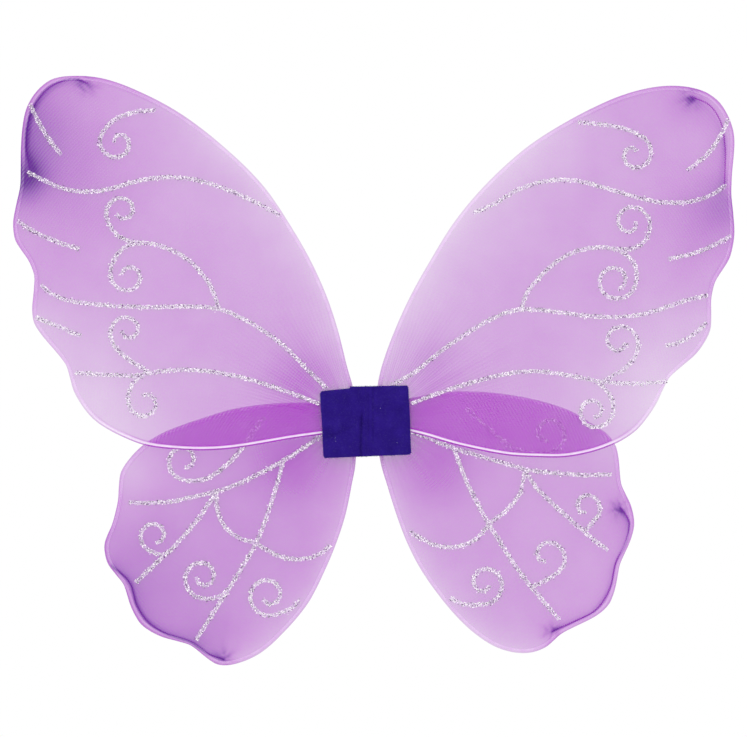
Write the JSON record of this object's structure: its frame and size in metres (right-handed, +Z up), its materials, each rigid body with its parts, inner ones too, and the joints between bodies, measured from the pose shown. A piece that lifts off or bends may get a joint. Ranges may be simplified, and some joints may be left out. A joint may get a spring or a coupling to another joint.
{
  "type": "fairy wings",
  "caption": "Child's costume fairy wings: sheer nylon stretched over wire loops, silver glitter scrolls, felt centre block with elastic shoulder straps",
  "frame": {"origin": "middle of the back face of the centre block, which rests against the wearer's back", "axes": "+X to the right seen from the decorated side, +Y toward the wearer, +Z up"},
  "size_m": [0.4785, 0.1187, 0.3917],
  "materials": {
    "wire_coating": "lilac-white plastic coating over steel wire",
    "nylon": "sheer knitted nylon stocking, mauve, stretched",
    "seam_thread": "violet overlock stitching",
    "silver_glitter": "silver glitter flakes in clear glue",
    "felt": "deep violet craft felt, creased",
    "card": "stiff grey-brown board",
    "lashing_thread": "pale waxed thread, wound",
    "elastic": "white woven elastic band",
    "tack_thread": "violet bar-tack stitching"
  },
  "bodies": {
    "block": {"front_cover": "felt", "back_cover": "felt", "stiffener_card": "card", "spine_strip": "card", "lashing_upper_left": "lashing_thread", "lashing_lower_left": "lashing_thread", "strap_left": "elastic", "bar_tack_top_left": "tack_thread", "bar_tack_bottom_left": "tack_thread", "lashing_upper_right": "lashing_thread", "lashing_lower_right": "lashing_thread", "strap_right": "elastic", "bar_tack_top_right": "tack_thread", "bar_tack_bottom_right": "tack_thread"},
    "wing_upper_left": {"wire_upper_left": "wire_coating", "sleeve_upper_left": "nylon", "toe_seam_upper_left": "seam_thread", "glitter_upper_left_tip": "silver_glitter", "glitter_upper_left_top_curl": "silver_glitter", "glitter_upper_left_high_vein": "silver_glitter", "glitter_upper_left_edge_high": "silver_glitter", "glitter_upper_left_main_scroll": "silver_glitter", "glitter_upper_left_edge_low": "silver_glitter", "glitter_upper_left_low_scroll": "silver_glitter"},
    "wing_upper_right": {"wire_upper_right": "wire_coating", "sleeve_upper_right": "nylon", "toe_seam_upper_right": "seam_thread", "glitter_upper_right_tip": "silver_glitter", "glitter_upper_right_top_curl": "silver_glitter", "glitter_upper_right_high_vein": "silver_glitter", "glitter_upper_right_edge_high": "silver_glitter", "glitter_upper_right_main_scroll": "silver_glitter", "glitter_upper_right_edge_low": "silver_glitter", "glitter_upper_right_low_scroll": "silver_glitter"},
    "wing_lower_left": {"wire_lower_left": "wire_coating", "sleeve_lower_left": "nylon", "toe_seam_lower_left": "seam_thread", "glitter_lower_left_high_curl": "silver_glitter", "glitter_lower_left_scroll": "silver_glitter", "glitter_lower_left_low_curl": "silver_glitter"},
    "wing_lower_right": {"wire_lower_right": "wire_coating", "sleeve_lower_right": "nylon", "toe_seam_lower_right": "seam_thread", "glitter_lower_right_high_curl": "silver_glitter", "glitter_lower_right_scroll": "silver_glitter", "glitter_lower_right_low_curl": "silver_glitter"}
  },
  "joints": [
    {"name": "upper_left_fold", "type": "hinge", "parent": "block", "child": "wing_upper_left", "pos_m": [-0.0075, -0.0105, 0], "axis": [0, 0, 1], "range_deg": [-6, 75], "deforming": ["front_cover", "back_cover"]},
    {"name": "lower_left_flex", "type": "hinge", "parent": "wing_upper_left", "child": "wing_lower_left", "pos_m": [-0.0075, -0.0105, 0], "axis": [0, 0, 1], "range_deg": [-12, 0], "deforming": ["front_cover", "back_cover"]},
    {"name": "upper_right_fold", "type": "hinge", "parent": "block", "child": "wing_upper_right", "pos_m": [0.0075, -0.0105, 0], "axis": [0, 0, -1], "range_deg": [-6, 75], "deforming": ["front_cover", "back_cover"]},
    {"name": "lower_right_flex", "type": "hinge", "parent": "wing_upper_right", "child": "wing_lower_right", "pos_m": [0.0075, -0.0105, 0], "axis": [0, 0, -1], "range_deg": [-12, 0], "deforming": ["front_cover", "back_cover"]}
  ]
}
